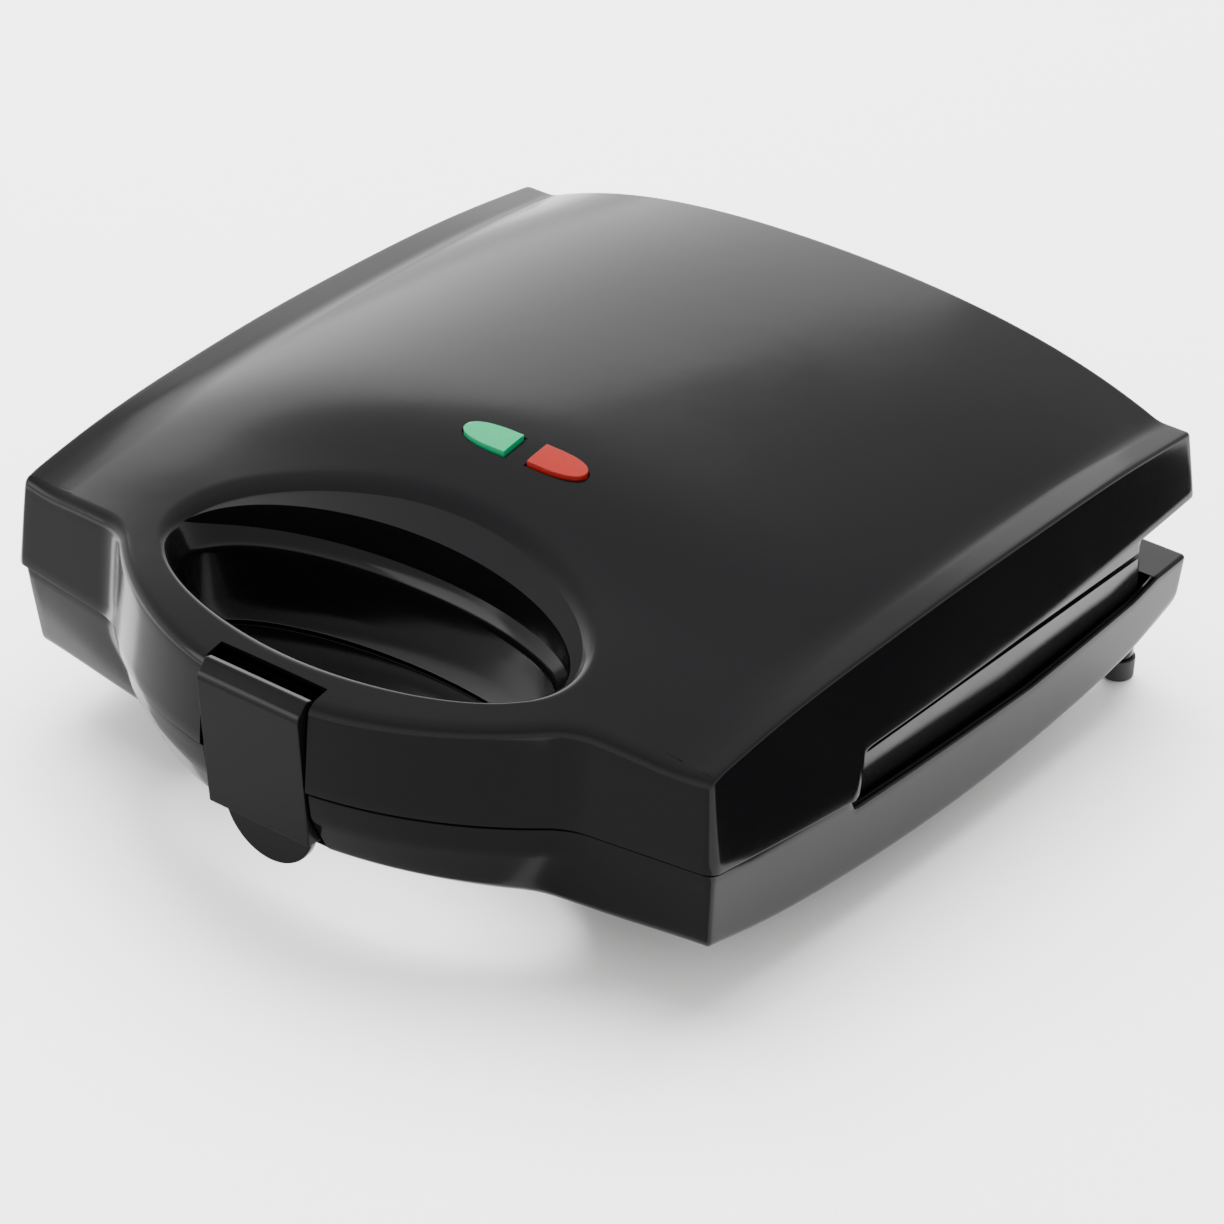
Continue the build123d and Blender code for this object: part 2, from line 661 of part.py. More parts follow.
# ---- rubber feet pushed into the base's four bosses ----
with BuildPart() as rubber_feet:
    with BuildSketch():
        with Locations(*foot_places):
            Circle(foot_boss_radius + 0.4)
    extrude(amount=foot_height, taper=-3)
    fillet(rubber_feet.edges().group_by(Axis.Z)[0], 1.0)
    add(posts(foot_places, foot_height - 0.5, 14, foot_hole_radius))
rubber_feet.part.label = "rubber_feet"
export_step(rubber_feet.part, "parts/rubber_feet.step")

# ---- cord gland in the base's rear wall, and the terminal block behind it ----
with BuildPart() as cord_gland:
    add(along((0, gland_z), pad_front - 2.4, pad_rear + 2.4, gland_neck_radius - 0.02))
    add(along((0, gland_z), pad_rear, pad_rear + 2.4, 6.6))
    add(along((0, gland_z), pad_front - 2.4, pad_front, 5.7))
    add(along((0, gland_z), 100, 130, gland_bore), mode=Mode.SUBTRACT)
cord_gland.part.label = "cord_gland"
export_step(cord_gland.part, "parts/cord_gland.step")

block_foot = 25.2
block_top = 37.8
ways = [(20, terminal_y), (28, terminal_y), (36, terminal_y)]
with BuildPart() as terminal_block:
    with BuildSketch(Plane.XY.offset(block_foot)):
        with Locations(ways[1]):
            RectangleRounded(30, 10, 1.5)
    extrude(amount=block_top - block_foot)
    with BuildSketch(Plane.XY.offset(block_top)):
        with Locations(*ways):
            Circle(2.2)
    extrude(amount=-8, mode=Mode.SUBTRACT)
terminal_block.part.label = "terminal_block"
export_step(terminal_block.part, "parts/terminal_block.step")

with BuildPart() as terminal_screws:
    with BuildSketch(Plane.XY.offset(block_foot + 5)):
        with Locations(*ways):
            Circle(2.1)
    extrude(amount=5)
terminal_screws.part.label = "terminal_screws"
export_step(terminal_screws.part, "parts/terminal_screws.step")
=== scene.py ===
import math

import bpy
import numpy as np
from mathutils import Matrix, Vector


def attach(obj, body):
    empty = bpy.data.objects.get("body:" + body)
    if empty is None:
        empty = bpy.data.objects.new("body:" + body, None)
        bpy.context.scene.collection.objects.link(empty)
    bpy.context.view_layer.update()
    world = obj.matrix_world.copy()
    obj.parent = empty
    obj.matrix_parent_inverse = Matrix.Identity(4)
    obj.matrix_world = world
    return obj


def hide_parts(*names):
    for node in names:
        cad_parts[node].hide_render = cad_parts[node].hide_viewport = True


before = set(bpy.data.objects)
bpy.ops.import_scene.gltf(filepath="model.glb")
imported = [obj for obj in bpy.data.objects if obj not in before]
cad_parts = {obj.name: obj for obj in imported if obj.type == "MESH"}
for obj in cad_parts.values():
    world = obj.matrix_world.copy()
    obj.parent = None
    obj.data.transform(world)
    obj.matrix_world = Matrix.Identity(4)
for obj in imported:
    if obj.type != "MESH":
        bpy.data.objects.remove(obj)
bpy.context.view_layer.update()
bpy.ops.object.select_all(action="DESELECT")
mm = 0.001

# ---------------------------------------------------------------- stand, camera and light
# A seamless pale table top that the appliance stands on, matt laminate, much wider than the view.


def linear(hex_colour, alpha=1.0):
    """An sRGB hex colour as linear light."""
    parts = [int(hex_colour[i:i + 2], 16) / 255 for i in (1, 3, 5)]
    parts = [c / 12.92 if c <= 0.04045 else ((c + 0.055) / 1.055) ** 2.4 for c in parts]
    return (*parts, alpha)


def node(tree, kind, settings=None, **links):
    """Adds a node; settings are its properties or input values, links go from a socket to an input."""
    made = tree.nodes.new(kind)
    for key, value in (settings or {}).items():
        if isinstance(key, int) or key in made.inputs:
            made.inputs[key].default_value = value
        else:
            setattr(made, key, value)
    for key, socket in links.items():
        key = key.replace("_", " ")
        tree.links.new(socket, made.inputs[int(key[2:])] if key.startswith("in") else made.inputs[key])
    return made


def new_material(name, settings):
    """A material with a Principled shader; returns it, its tree and the shader."""
    material = bpy.data.materials.new(name)
    material.use_nodes = True
    tree = material.node_tree
    shader = tree.nodes["Principled BSDF"]
    for key, value in settings.items():
        shader.inputs[key].default_value = value
    return material, tree, shader


laminate, _, _ = new_material("pale_matt_laminate", {"Base Color": linear("#fafaf9"), "Roughness": 0.55})
bpy.ops.mesh.primitive_grid_add(x_subdivisions=4, y_subdivisions=4, size=8)
table_top = bpy.context.object
table_top.name = "table_top"
table_top.data.materials.append(laminate)

# The viewpoint stands to the right of the handle, looking down on the lid from about 32 degrees.
# Its three axes are unit vectors: to the right, up, and back from the object.
camera_place = Vector((0.7355, -0.8867, 0.7483))
camera_right = Vector((0.77636, 0.63029, -0.0010))
camera_up = Vector((-0.33076, 0.40879, 0.85058))
camera_back = Vector((0.53652, -0.66002, 0.52585))
camera_data = bpy.data.cameras.new("camera")
camera_data.lens = 150.66
camera_data.sensor_width = 36
camera = bpy.data.objects.new("camera", camera_data)
camera.matrix_world = Matrix((
    (camera_right.x, camera_up.x, camera_back.x, camera_place.x),
    (camera_right.y, camera_up.y, camera_back.y, camera_place.y),
    (camera_right.z, camera_up.z, camera_back.z, camera_place.z),
    (0, 0, 0, 1)))
bpy.context.scene.collection.objects.link(camera)
bpy.context.scene.camera = camera


def softbox(name, place, target, width, height, watts):
    """A rectangular studio light at a place, facing a target."""
    data = bpy.data.lights.new(name, "AREA")
    data.shape = "RECTANGLE"
    data.size, data.size_y, data.energy = width, height, watts
    light = bpy.data.objects.new(name, data)
    light.location = place
    light.rotation_euler = (Vector(place) - Vector(target)).to_track_quat("Z", "Y").to_euler()
    bpy.context.scene.collection.objects.link(light)
    return light


# The top softbox lights the table top and isn't mirrored; the other two draw soft highlights on the left.
softbox("softbox_left_rear", (-1.5, 1.3, 0.8), (0, 0, 0.05), 1.6, 1.0, 10)
top_light = softbox("softbox_top", (-0.4, 0.5, 2.1), (0, 0, 0), 2.2, 2.2, 200)
top_light.visible_glossy = False
softbox("softbox_front_left", (-1.3, -1.4, 0.8), (0, 0, 0.05), 1.0, 0.9, 12)
card_level = 0.002


def card(name, colour, corners):
    """A card lying on the table top that only shows as a reflection, from its four corners."""
    bpy.ops.mesh.primitive_grid_add(x_subdivisions=1, y_subdivisions=1, size=1)
    made = bpy.context.object
    made.name = name
    for vertex, (x, y) in zip(made.data.vertices, corners):
        vertex.co = (x, y, card_level)
    paper, _, _ = new_material(name, {"Base Color": linear(colour), "Roughness": 1.0})
    made.data.materials.append(paper)
    made.visible_camera = made.visible_diffuse = made.visible_shadow = made.visible_transmission = False


# A black card on the right darkens the right wall's reflection, a grey one that of the front.
card("black_card", "#030303", ((0.150, -0.030), (0.75, -0.030), (0.172, 0.245), (0.75, 0.60)))
card("grey_card", "#9a9a9a", ((-0.45, -0.70), (0.40, -0.70), (-0.30, -0.10), (0.16, -0.10)))

# The room is bright at table height and grey overhead: heights from 0 to 1 with their grey.
sky_steps = ((0.0, 1.0), (0.3, 0.95), (0.45, 0.66), (0.62, 0.5), (0.78, 0.5), (1.0, 0.62))
world = bpy.data.worlds.new("studio")
world.use_nodes = True
sky_tree = world.node_tree
way_in = node(sky_tree, "ShaderNodeTexCoord")
way_parts = node(sky_tree, "ShaderNodeSeparateXYZ", Vector=way_in.outputs["Generated"])
sky = node(sky_tree, "ShaderNodeValToRGB", Fac=way_parts.outputs["Z"])
for number, (height, grey) in enumerate(sky_steps):
    stop = sky.color_ramp.elements[number] if number < 2 else sky.color_ramp.elements.new(height)
    stop.position, stop.color = height, (grey, grey, grey, 1)
sky_tree.links.new(sky.outputs["Color"], sky_tree.nodes["Background"].inputs["Color"])
sky_tree.nodes["Background"].inputs["Strength"].default_value = 2.6
bpy.context.scene.world = world

# ---------------------------------------------------------------- glossy black mouldings
# The two casing halves and the latch are injection-moulded ABS in piano black. The mould is polished,
# so the skin mirrors the room, with a faint waviness 11 mm long and handled patches of 70 mm that are
# a little duller.
piano_black, tree, shader = new_material("piano_black_abs", {
    "Base Color": linear("#060607"), "Roughness": 0.16, "IOR": 1.53, "Specular IOR Level": 0.13})
place = node(tree, "ShaderNodeTexCoord")
waviness = node(tree, "ShaderNodeTexNoise", {"Scale": 90.0, "Detail": 2.0}, Vector=place.outputs["Object"])
smudge = node(tree, "ShaderNodeTexNoise", {"Scale": 14.0, "Detail": 5.0, "Roughness": 0.6},
              Vector=place.outputs["Object"])
smudge_range = node(tree, "ShaderNodeMapRange", {
    "From Min": 0.3, "From Max": 0.75, "To Min": 0.11, "To Max": 0.21}, Value=smudge.outputs["Fac"])
tree.links.new(smudge_range.outputs["Result"], shader.inputs["Roughness"])
ripple = node(tree, "ShaderNodeBump", {"Strength": 0.05, "Distance": 0.0004}, Height=waviness.outputs["Fac"])
tree.links.new(ripple.outputs["Normal"], shader.inputs["Normal"])

# ---------------------------------------------------------------- lid cover
# The lid's outer moulding: a crowned roof with a flat strip along each side, leaning walls, and the
# handle ring with its flared opening. One shell 2.4 mm thick, its edges rounded in the mould.
shell_wall = 2.4
corner_half_width, side_bulge, body_rear = 117.7, 2.6, 124.0
shoulder_front, shoulder_slope = -88.5, math.tan(math.radians(8))
nose_tip, nose_radius, nose_blend = -125.5, 109.0, 17.0
corner_radius, least_radius = 4.8, 0.6
grip_middle, grip_half, grip_rim_height = -77.6, (65.6, 32.1), 80.9
throat_middle, throat_half, throat_top = -81.0, (59.0, 24.0), 69.5
crease = 104.0
# from front to back: y, height of the flat strips, height of the roof's middle
lid_stations = np.array([(-134, 66.5, 71.0), (-110, 70.0, 76.1), (-86, 73.8, 79.6), (-67, 77.0, 82.5),
                         (-45, 79.6, 86.2), (-21, 81.1, 92.0), (6, 82.2, 94.6), (48, 82.4, 95.9),
                         (93, 80.9, 96.4), (122, 78.2, 96.0), (140, 76.5, 95.4)])


def smooth_line(knots, values):
    """A curve with even curvature through the given values, as a function of the knots' axis."""
    n = len(knots)
    step = np.diff(knots)
    rows = np.eye(n)
    right = np.zeros(n)
    for i in range(1, n - 1):
        rows[i, i - 1:i + 2] = step[i - 1], 2 * (step[i - 1] + step[i]), step[i]
        right[i] = 6 * ((values[i + 1] - values[i]) / step[i] - (values[i] - values[i - 1]) / step[i - 1])
    bend = np.linalg.solve(rows, right)

    def at(y):
        y = np.clip(y, knots[0], knots[-1])
        i = np.clip(np.searchsorted(knots, y) - 1, 0, n - 2)
        a, b, h = knots[i + 1] - y, y - knots[i], step[i]
        return ((bend[i] * a ** 3 + bend[i + 1] * b ** 3) / (6 * h)
                + (values[i] / h - bend[i] * h / 6) * a + (values[i + 1] / h - bend[i + 1] * h / 6) * b)
    return at


lid_strip = smooth_line(lid_stations[:, 0], lid_stations[:, 1])
lid_middle = smooth_line(lid_stations[:, 0], lid_stations[:, 2])


def crowned(strip, middle, soft=0.8):
    """Height of a crowned surface: flat strips at the sides, a bulge between the creases."""
    def at(x, y):
        u2 = (x / crease) ** 2
        bulge = (middle(y) - strip(y)) * (1 - u2) * (1 + 0.35 * u2)
        sign = np.sign(middle(20.0) - strip(20.0))
        lifted = (bulge * sign + np.sqrt(bulge ** 2 + soft ** 2)) / 2
        return strip(y) + sign * (lifted - soft * soft / 4 / np.maximum(abs(bulge), soft))
    return at


lid_roof = crowned(lid_strip, lid_middle)


def first_meeting(start, direction, centre, radius):
    """How far along a line from its start it first meets a circle."""
    from_x, from_y = start[0] - centre[0], start[1] - centre[1]
    b = from_x * direction[0] + from_y * direction[1]
    c = from_x * from_x + from_y * from_y - radius ** 2
    return -b - math.sqrt(b * b - c)


def casing_outline(inset, nose_pull=0.0):
    """Right half of the casing's outline from the rear middle to the front middle: points and normals.
    It is moved in by inset, and nose_pull draws the handle's front back."""
    half = corner_half_width - inset
    rear, front = body_rear - inset, shoulder_front + inset
    radius = nose_radius - inset
    nose_y = nose_tip + nose_radius + nose_pull
    blend = nose_blend + inset
    r = max(corner_radius - inset, least_radius)
    middle, half_length = (front + rear) / 2, (rear - front) / 2
    side_radius = (half_length ** 2 + side_bulge ** 2) / (2 * side_bulge)
    side_x = half + side_bulge - side_radius
    points, normals = [], []

    def add_arc(cx, cy, rad, a0, a1, count, hollow=False):
        for a in np.linspace(a0, a1, count):
            c, s = math.cos(a), math.sin(a)
            points.append((cx + rad * c, cy + rad * s))
            normals.append((-c, -s) if hollow else (c, s))

    # rear corner: the arc that touches the rear wall and the side arc
    cy = rear - r
    cx = side_x + math.sqrt((side_radius - r) ** 2 - (cy - middle) ** 2)
    rear_lean = math.atan2(cy - middle, cx - side_x)
    for x in np.linspace(0, cx, 60)[:-1]:
        points.append((x, rear))
        normals.append((0, 1))
    add_arc(cx, cy, r, math.pi / 2, rear_lean, 9)
    # front corner: touches the side arc and the sloping shoulder
    slope = math.atan(shoulder_slope)
    out = (math.sin(slope), -math.cos(slope))
    # the shoulder's line moved in by r meets the side arc made smaller by r
    line_point = (half - out[0] * r, front - out[1] * r)
    direction = (-math.cos(slope), -math.sin(slope))
    t = first_meeting(line_point, direction, (side_x, middle), side_radius - r)
    corner_x, corner_y = line_point[0] + direction[0] * t, line_point[1] + direction[1] * t
    front_lean = math.atan2(corner_y - middle, corner_x - side_x)
    for a in np.linspace(rear_lean, front_lean, 140)[1:-1]:
        points.append((side_x + side_radius * math.cos(a), middle + side_radius * math.sin(a)))
        normals.append((math.cos(a), math.sin(a)))
    add_arc(corner_x, corner_y, r, front_lean, math.atan2(out[1], out[0]), 9)
    # hollow blend between shoulder and nose: centre outside, touching both
    px, py = half + out[0] * blend, front + out[1] * blend
    t = first_meeting((px, py), direction, (0, nose_y), radius + blend)
    bx, by = px + direction[0] * t, py + direction[1] * t
    start = points[-1]
    touch = (bx - out[0] * blend, by - out[1] * blend)
    for k in np.linspace(0, 1, 14)[1:-1]:
        points.append((start[0] + (touch[0] - start[0]) * k, start[1] + (touch[1] - start[1]) * k))
        normals.append(out)
    add_arc(bx, by, blend, math.atan2(-out[1], -out[0]), math.atan2(nose_y - by, -bx), 15, hollow=True)
    nose_start = math.atan2(by - nose_y, bx)
    for a in np.linspace(nose_start, -math.pi / 2, 44)[1:]:
        points.append((radius * math.cos(a), nose_y + radius * math.sin(a)))
        normals.append((math.cos(a), math.sin(a)))
    return np.array(points), np.array(normals)


def both_halves(points, normals):
    """The whole outline, anticlockwise from the front middle, from its right half."""
    mirror = (-1, 1)
    return (np.vstack([points[::-1], points[1:-1] * mirror]),
            np.vstack([normals[::-1], normals[1:-1] * mirror]))


def throat_ring(outline, half, middle_y):
    """Where the line from the opening's middle to each outline point crosses an ellipse."""
    way = outline - np.array([0.0, grip_middle])
    angle = np.arctan2(way[:, 1] * half[0], way[:, 0] * half[1])
    return np.stack([half[0] * np.cos(angle), middle_y + half[1] * np.sin(angle)], 1)


def bend(a, corner, b, count):
    """Points on the smooth bend from a to b round a corner, both ends left out."""
    steps = np.linspace(0, 1, count + 2)[1:-1]
    return [(1 - t) ** 2 * a + 2 * t * (1 - t) * corner + t * t * b for t in steps]


def closed_shell(name, rings):
    """A ring-shaped shell from a grid whose lines take the given rings, outer wall first, then over
    the top, down the opening and back along the inside; the grid's two seams are then merged."""
    columns = len(rings[0])
    bpy.ops.mesh.primitive_grid_add(x_subdivisions=columns, y_subdivisions=len(rings))
    shell = bpy.context.object
    shell.name = name
    places = np.stack(rings + rings[:1], 0)
    places = np.concatenate([places, places[:, :1]], 1).reshape(-1, 3) * mm
    shell.data.vertices.foreach_set("co", places.astype(np.float32).ravel())
    shell.data.update()
    bpy.ops.object.mode_set(mode="EDIT")
    bpy.ops.mesh.select_all(action="SELECT")
    bpy.ops.mesh.remove_doubles(threshold=1e-6)
    bpy.ops.object.mode_set(mode="OBJECT")
    bpy.ops.object.shade_smooth_by_angle(angle=math.radians(40))
    return shell


def with_height(flat, height):
    """Plan points with their heights."""
    return np.column_stack([flat, np.broadcast_to(height, len(flat))])


# y and height of the lid's lower edge: the joint, then up into the side window to the hinge
joint_line = np.array([(-134, 49.9), (-88, 48.2), (-32, 43.2)])
window_line = np.array([(-31.2, 46.0), (-28.5, 54.2), (-27, 55.3), (46, 56.3), (134, 59.5)])
lid_foot_line = np.vstack([joint_line, window_line])
lid_draft, draft_level = 0.098, 40
# columns of the shell stand at fixed shares of the outline, so a wall leans without twisting
outline_0, outline_n = both_halves(*casing_outline(0.0))
insets_known = np.array([0.0, 2.4, 5.1, 7.5])
outlines_known = np.stack([both_halves(*casing_outline(i))[0] for i in insets_known])


def lid_wall(height, extra=0.0):
    """Plan of the lid's wall at given heights, one for each column, between the known outlines."""
    inset = np.broadcast_to((height - draft_level) * lid_draft + extra, len(outline_0))
    k = np.clip(np.searchsorted(insets_known, inset) - 1, 0, 2)
    share = ((inset - insets_known[k]) / (insets_known[k + 1] - insets_known[k]))[:, None]
    rows = np.arange(len(outline_0))
    return outlines_known[k, rows] * (1 - share) + outlines_known[k + 1, rows] * share


def roof_edge(extra=0.0, drop=0.0):
    """Plan and height where the lid's wall meets its roof, found by steps from a first guess."""
    height = np.full(len(outline_0), 78.0)
    for _ in range(6):
        plan = lid_wall(height, extra)
        height = lid_roof(plan[:, 0], plan[:, 1]) - drop
    return plan, height


def lid_flare(height, grow=0.0):
    """The opening's outline at a height: the straight throat, or the flare above it."""
    share = np.maximum(height - throat_top, 0) / (grip_rim_height - throat_top)
    half_x = throat_half[0] + grow + share * (grip_half[0] - throat_half[0])
    half_y = throat_half[1] + grow + share * (grip_half[1] - throat_half[1])
    middle_y = throat_middle + share * (grip_middle - throat_middle)
    return throat_ring(outline_0, (half_x, half_y), middle_y)


def eased(value, low, high):
    """0 below low, 1 above high, smooth between."""
    share = np.clip((value - low) / (high - low), 0, 1)
    return share * share * (3 - 2 * share)


# the outer wall, then the roof's edge: sharp on the body, rounder on the handle
foot = np.interp(outline_0[:, 1], lid_foot_line[:, 0], lid_foot_line[:, 1])
edge_plan, edge_height = roof_edge()
rim_round, lip_round = 3.0, 0.8
edge_round = 1.0 + 2.2 * eased(-outline_0[:, 1], 80, 92)
inward = -outline_n
rings = []
for share in np.linspace(0, 1, 9):
    height = foot + lip_round + (edge_height - edge_round - foot - lip_round) * share
    rings.append(with_height(lid_wall(height), height))
roof_start = edge_plan + inward * edge_round[:, None]
roof_start_3d = with_height(roof_start, lid_roof(roof_start[:, 0], roof_start[:, 1]))
rings += bend(rings[-1], with_height(edge_plan, edge_height), roof_start_3d, 7)
# the opening's rim, found by steps from a first guess, then the roof between edge and rim, with one
# of its lines laid along the crease
rim_height = np.full(len(outline_0), 80.0)
for _ in range(8):
    rim = lid_flare(rim_height)
    rim_height = lid_roof(rim[:, 0], rim[:, 1])
outward = roof_start - rim
reach = np.linalg.norm(outward, axis=1)
rim_end = rim + outward * (rim_round / reach)[:, None]
crossing = np.abs(roof_start[:, 0]) - np.abs(rim_end[:, 0])
crease_share = np.where(crossing > 1, (crease - np.abs(rim_end[:, 0])) / np.maximum(crossing, 1), 1.0)
crease_share = np.clip(crease_share, 0.6, 0.955)
outer_steps, inner_steps = 9, 40
last_step = outer_steps + inner_steps - 1
for k in np.linspace(0, 1, last_step + 1):
    near = np.minimum(k * last_step / outer_steps, 1.0)
    if k <= outer_steps / last_step:
        share = 1 - (1 - crease_share) * near
    else:
        rest = (k * last_step - outer_steps) / (inner_steps - 1)
        share = crease_share * (1 - rest)
    plan = rim_end + (roof_start - rim_end) * np.asarray(share)[:, None]
    rings.append(with_height(plan, lid_roof(plan[:, 0], plan[:, 1])))
# down the flare and the straight throat, round its lip and back up on the inside
flare_height = rim_height - rim_round * 0.9
rim_low = with_height(lid_flare(flare_height), flare_height)
rings += bend(rings[-1], with_height(rim, rim_height), rim_low, 6)
rings.append(rim_low)
throat_plan, throat_middle_plan, throat_back = [
    lid_flare(throat_top, grow) for grow in (0.0, shell_wall / 2, shell_wall)]
throat_foot = np.interp(throat_plan[:, 1], joint_line[:, 0], joint_line[:, 1])
knee_height = np.full(len(outline_0), throat_top)
for share in (0.3, 0.6, 0.85):
    height = flare_height + (knee_height - flare_height) * share
    rings.append(with_height(lid_flare(height), height))
knee_low = with_height(lid_flare(knee_height - 2), knee_height - 2)
rings += bend(rings[-1], with_height(lid_flare(knee_height), knee_height), knee_low, 4)
for share in np.linspace(0, 1, 4):
    height = knee_height - 2 + (throat_foot + lip_round - knee_height + 2) * share
    rings.append(with_height(lid_flare(height), height))
under = with_height(throat_middle_plan, throat_foot)
rings += bend(rings[-1], with_height(throat_plan, throat_foot), under, 2)
rings.append(under)
back_low = with_height(throat_back, throat_foot + lip_round)
rings += bend(under, with_height(throat_back, throat_foot), back_low, 2)
throat_back_top = 66.0
for share in np.linspace(0, 1, 4):
    height = throat_foot + lip_round + (throat_back_top - throat_foot - lip_round) * share
    rings.append(with_height(throat_back, height))
# the inside of the roof and of the wall, and the lip of the wall's lower edge
inner_edge, inner_edge_height = roof_edge(shell_wall, shell_wall)
inner_throat = lid_flare(throat_top, shell_wall + 2)
for share in np.linspace(0, 1, 16):
    plan = inner_throat * (1 - share) + inner_edge * share
    height = lid_roof(plan[:, 0], plan[:, 1]) - shell_wall - 0.4 * math.sin(math.pi * share)
    rings.append(with_height(plan, height))
for share in np.linspace(0, 1, 5):
    height = inner_edge_height - 1.5 + (foot + lip_round - inner_edge_height + 1.5) * share
    rings.append(with_height(lid_wall(height, shell_wall), height))
lip_under = with_height(lid_wall(foot, shell_wall / 2), foot)
rings += bend(rings[-1], with_height(lid_wall(foot, shell_wall), foot), lip_under, 2)
rings.append(lip_under)
rings += bend(lip_under, with_height(lid_wall(foot), foot), rings[0], 2)
lid_cover = closed_shell("lid_cover", rings)
lid_cover.data.materials.append(piano_black)

# ---------------------------------------------------------------- latch notch and lens windows
# Cut-outs in the lid's moulding: the notch that the latch hangs in, walled like a small box, and two
# D-shaped windows that the lenses sit in. Cut as the mould's cores would leave them.
notch_half_width, notch_rear, notch_wall = 17.6, -113.5, 2.4
lens_middle_y, lens_half_width, lens_inner_end, lens_length = -17.0, 4.1, 3.8, 16.4
lens_shoulder, lens_gap = 4.0, 0.6


def block(name, low, high):
    """A block between two corners in millimetres."""
    bpy.ops.mesh.primitive_cube_add(size=1)
    made = bpy.context.object
    made.name = name
    for vertex in made.data.vertices:
        for axis in range(3):
            vertex.co[axis] = (high[axis] if vertex.co[axis] > 0 else low[axis]) * mm
    return made


def combine(target, other, operation):
    """Joins another solid to the target or takes it out of it; the other object is removed."""
    bpy.context.view_layer.objects.active = target
    modifier = target.modifiers.new("combine", "BOOLEAN")
    modifier.object, modifier.operation, modifier.solver = other, operation, "EXACT"
    bpy.ops.object.modifier_apply(modifier=modifier.name)
    bpy.data.objects.remove(other)


def cut(target, cutter):
    """Takes the cutter's volume out of the target."""
    combine(target, cutter, "DIFFERENCE")


def smoothed(piece, angle):
    """Shades one piece smooth, with edges sharper than the angle kept sharp."""
    bpy.ops.object.select_all(action="DESELECT")
    piece.select_set(True)
    bpy.context.view_layer.objects.active = piece
    bpy.ops.object.shade_smooth_by_angle(angle=math.radians(angle))


def notch_cutter(low, high):
    """The space that the latch hangs in, between two heights."""
    return block("notch", (-notch_half_width, -140, low), (notch_half_width, notch_rear, high))


def lens_outline(side, grow):
    """A lens seen from above: flat towards the middle, rounded to a blunt point at the outer end."""
    flat, shoulder = lens_inner_end - grow, lens_inner_end + lens_shoulder
    tip = lens_inner_end + lens_length + grow
    half = lens_half_width + grow
    angles = np.linspace(-math.pi / 2, math.pi / 2, 25)
    curve = [(shoulder + (tip - shoulder) * math.cos(a), half * math.sin(a)) for a in angles]
    outline = [(flat, -half)] + curve + [(flat, half)]
    return [(side * x, lens_middle_y + y) for x, y in outline][::side]


def prism(name, outline, low, high):
    """An upright block with the given outline, anticlockwise."""
    bpy.ops.mesh.primitive_circle_add(vertices=len(outline), fill_type="NGON")
    made = bpy.context.object
    made.name = name
    for vertex, (x, y) in zip(made.data.vertices, outline):
        vertex.co = (x * mm, y * mm, low * mm)
    bpy.ops.object.mode_set(mode="EDIT")
    bpy.ops.mesh.select_all(action="SELECT")
    bpy.ops.mesh.extrude_region_move(TRANSFORM_OT_translate={"value": (0, 0, (high - low) * mm)})
    bpy.ops.mesh.select_all(action="SELECT")
    bpy.ops.mesh.normals_make_consistent(inside=False)
    bpy.ops.object.mode_set(mode="OBJECT")
    return made


cut(lid_cover, notch_cutter(30, 110))
for side in (-1, 1):
    cut(lid_cover, prism("window", lens_outline(side, lens_gap), 80, 110))
smoothed(lid_cover, 32)
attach(lid_cover, "lid")
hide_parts("upper_cover")


def welded(name, pieces):
    """Joins pieces into one named object."""
    bpy.ops.object.select_all(action="DESELECT")
    for piece in pieces:
        piece.select_set(True)
    bpy.context.view_layer.objects.active = pieces[0]
    bpy.ops.object.join()
    made = bpy.context.object
    made.name = name
    return made


def notch_walls(name, low_at, high_at, front_at):
    """The walls round a latch notch: two cheeks and a back, cut off flush inside the shell."""
    outer = notch_half_width + notch_wall
    walls = []
    for x_from, x_to, y_from in ((-outer, -notch_half_width, None), (notch_half_width, outer, None),
                                 (-outer, outer, notch_rear)):
        bpy.ops.mesh.primitive_cube_add(size=1)
        wall = bpy.context.object
        bpy.ops.object.mode_set(mode="EDIT")
        bpy.ops.mesh.select_all(action="SELECT")
        bpy.ops.mesh.subdivide(number_cuts=9)
        bpy.ops.object.mode_set(mode="OBJECT")
        for vertex in wall.data.vertices:
            share = np.array(vertex.co) + 0.5
            x = x_from + (x_to - x_from) * share[0]
            y_front = front_at(x) if y_from is None else y_from
            y = y_front + (notch_rear + notch_wall - y_front) * share[1]
            low, high = low_at(x, y), high_at(x, y)
            vertex.co = (x * mm, y * mm, (low + (high - low) * share[2]) * mm)
        walls.append(wall)
    made = welded(name, walls)
    made.data.materials.append(piano_black)
    smoothed(made, 35)
    return made


def nose_front(x, inset, pull=0.0):
    """How far forward the handle's front stands at x."""
    radius = nose_radius - inset
    return nose_tip + nose_radius + pull - math.sqrt(radius ** 2 - x ** 2)


lid_notch = notch_walls("lid_notch_walls", lambda x, y: 50.0, lambda x, y: float(lid_roof(x, y)) - 1.1,
                        lambda x: nose_front(x, 4.2))
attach(lid_notch, "lid")

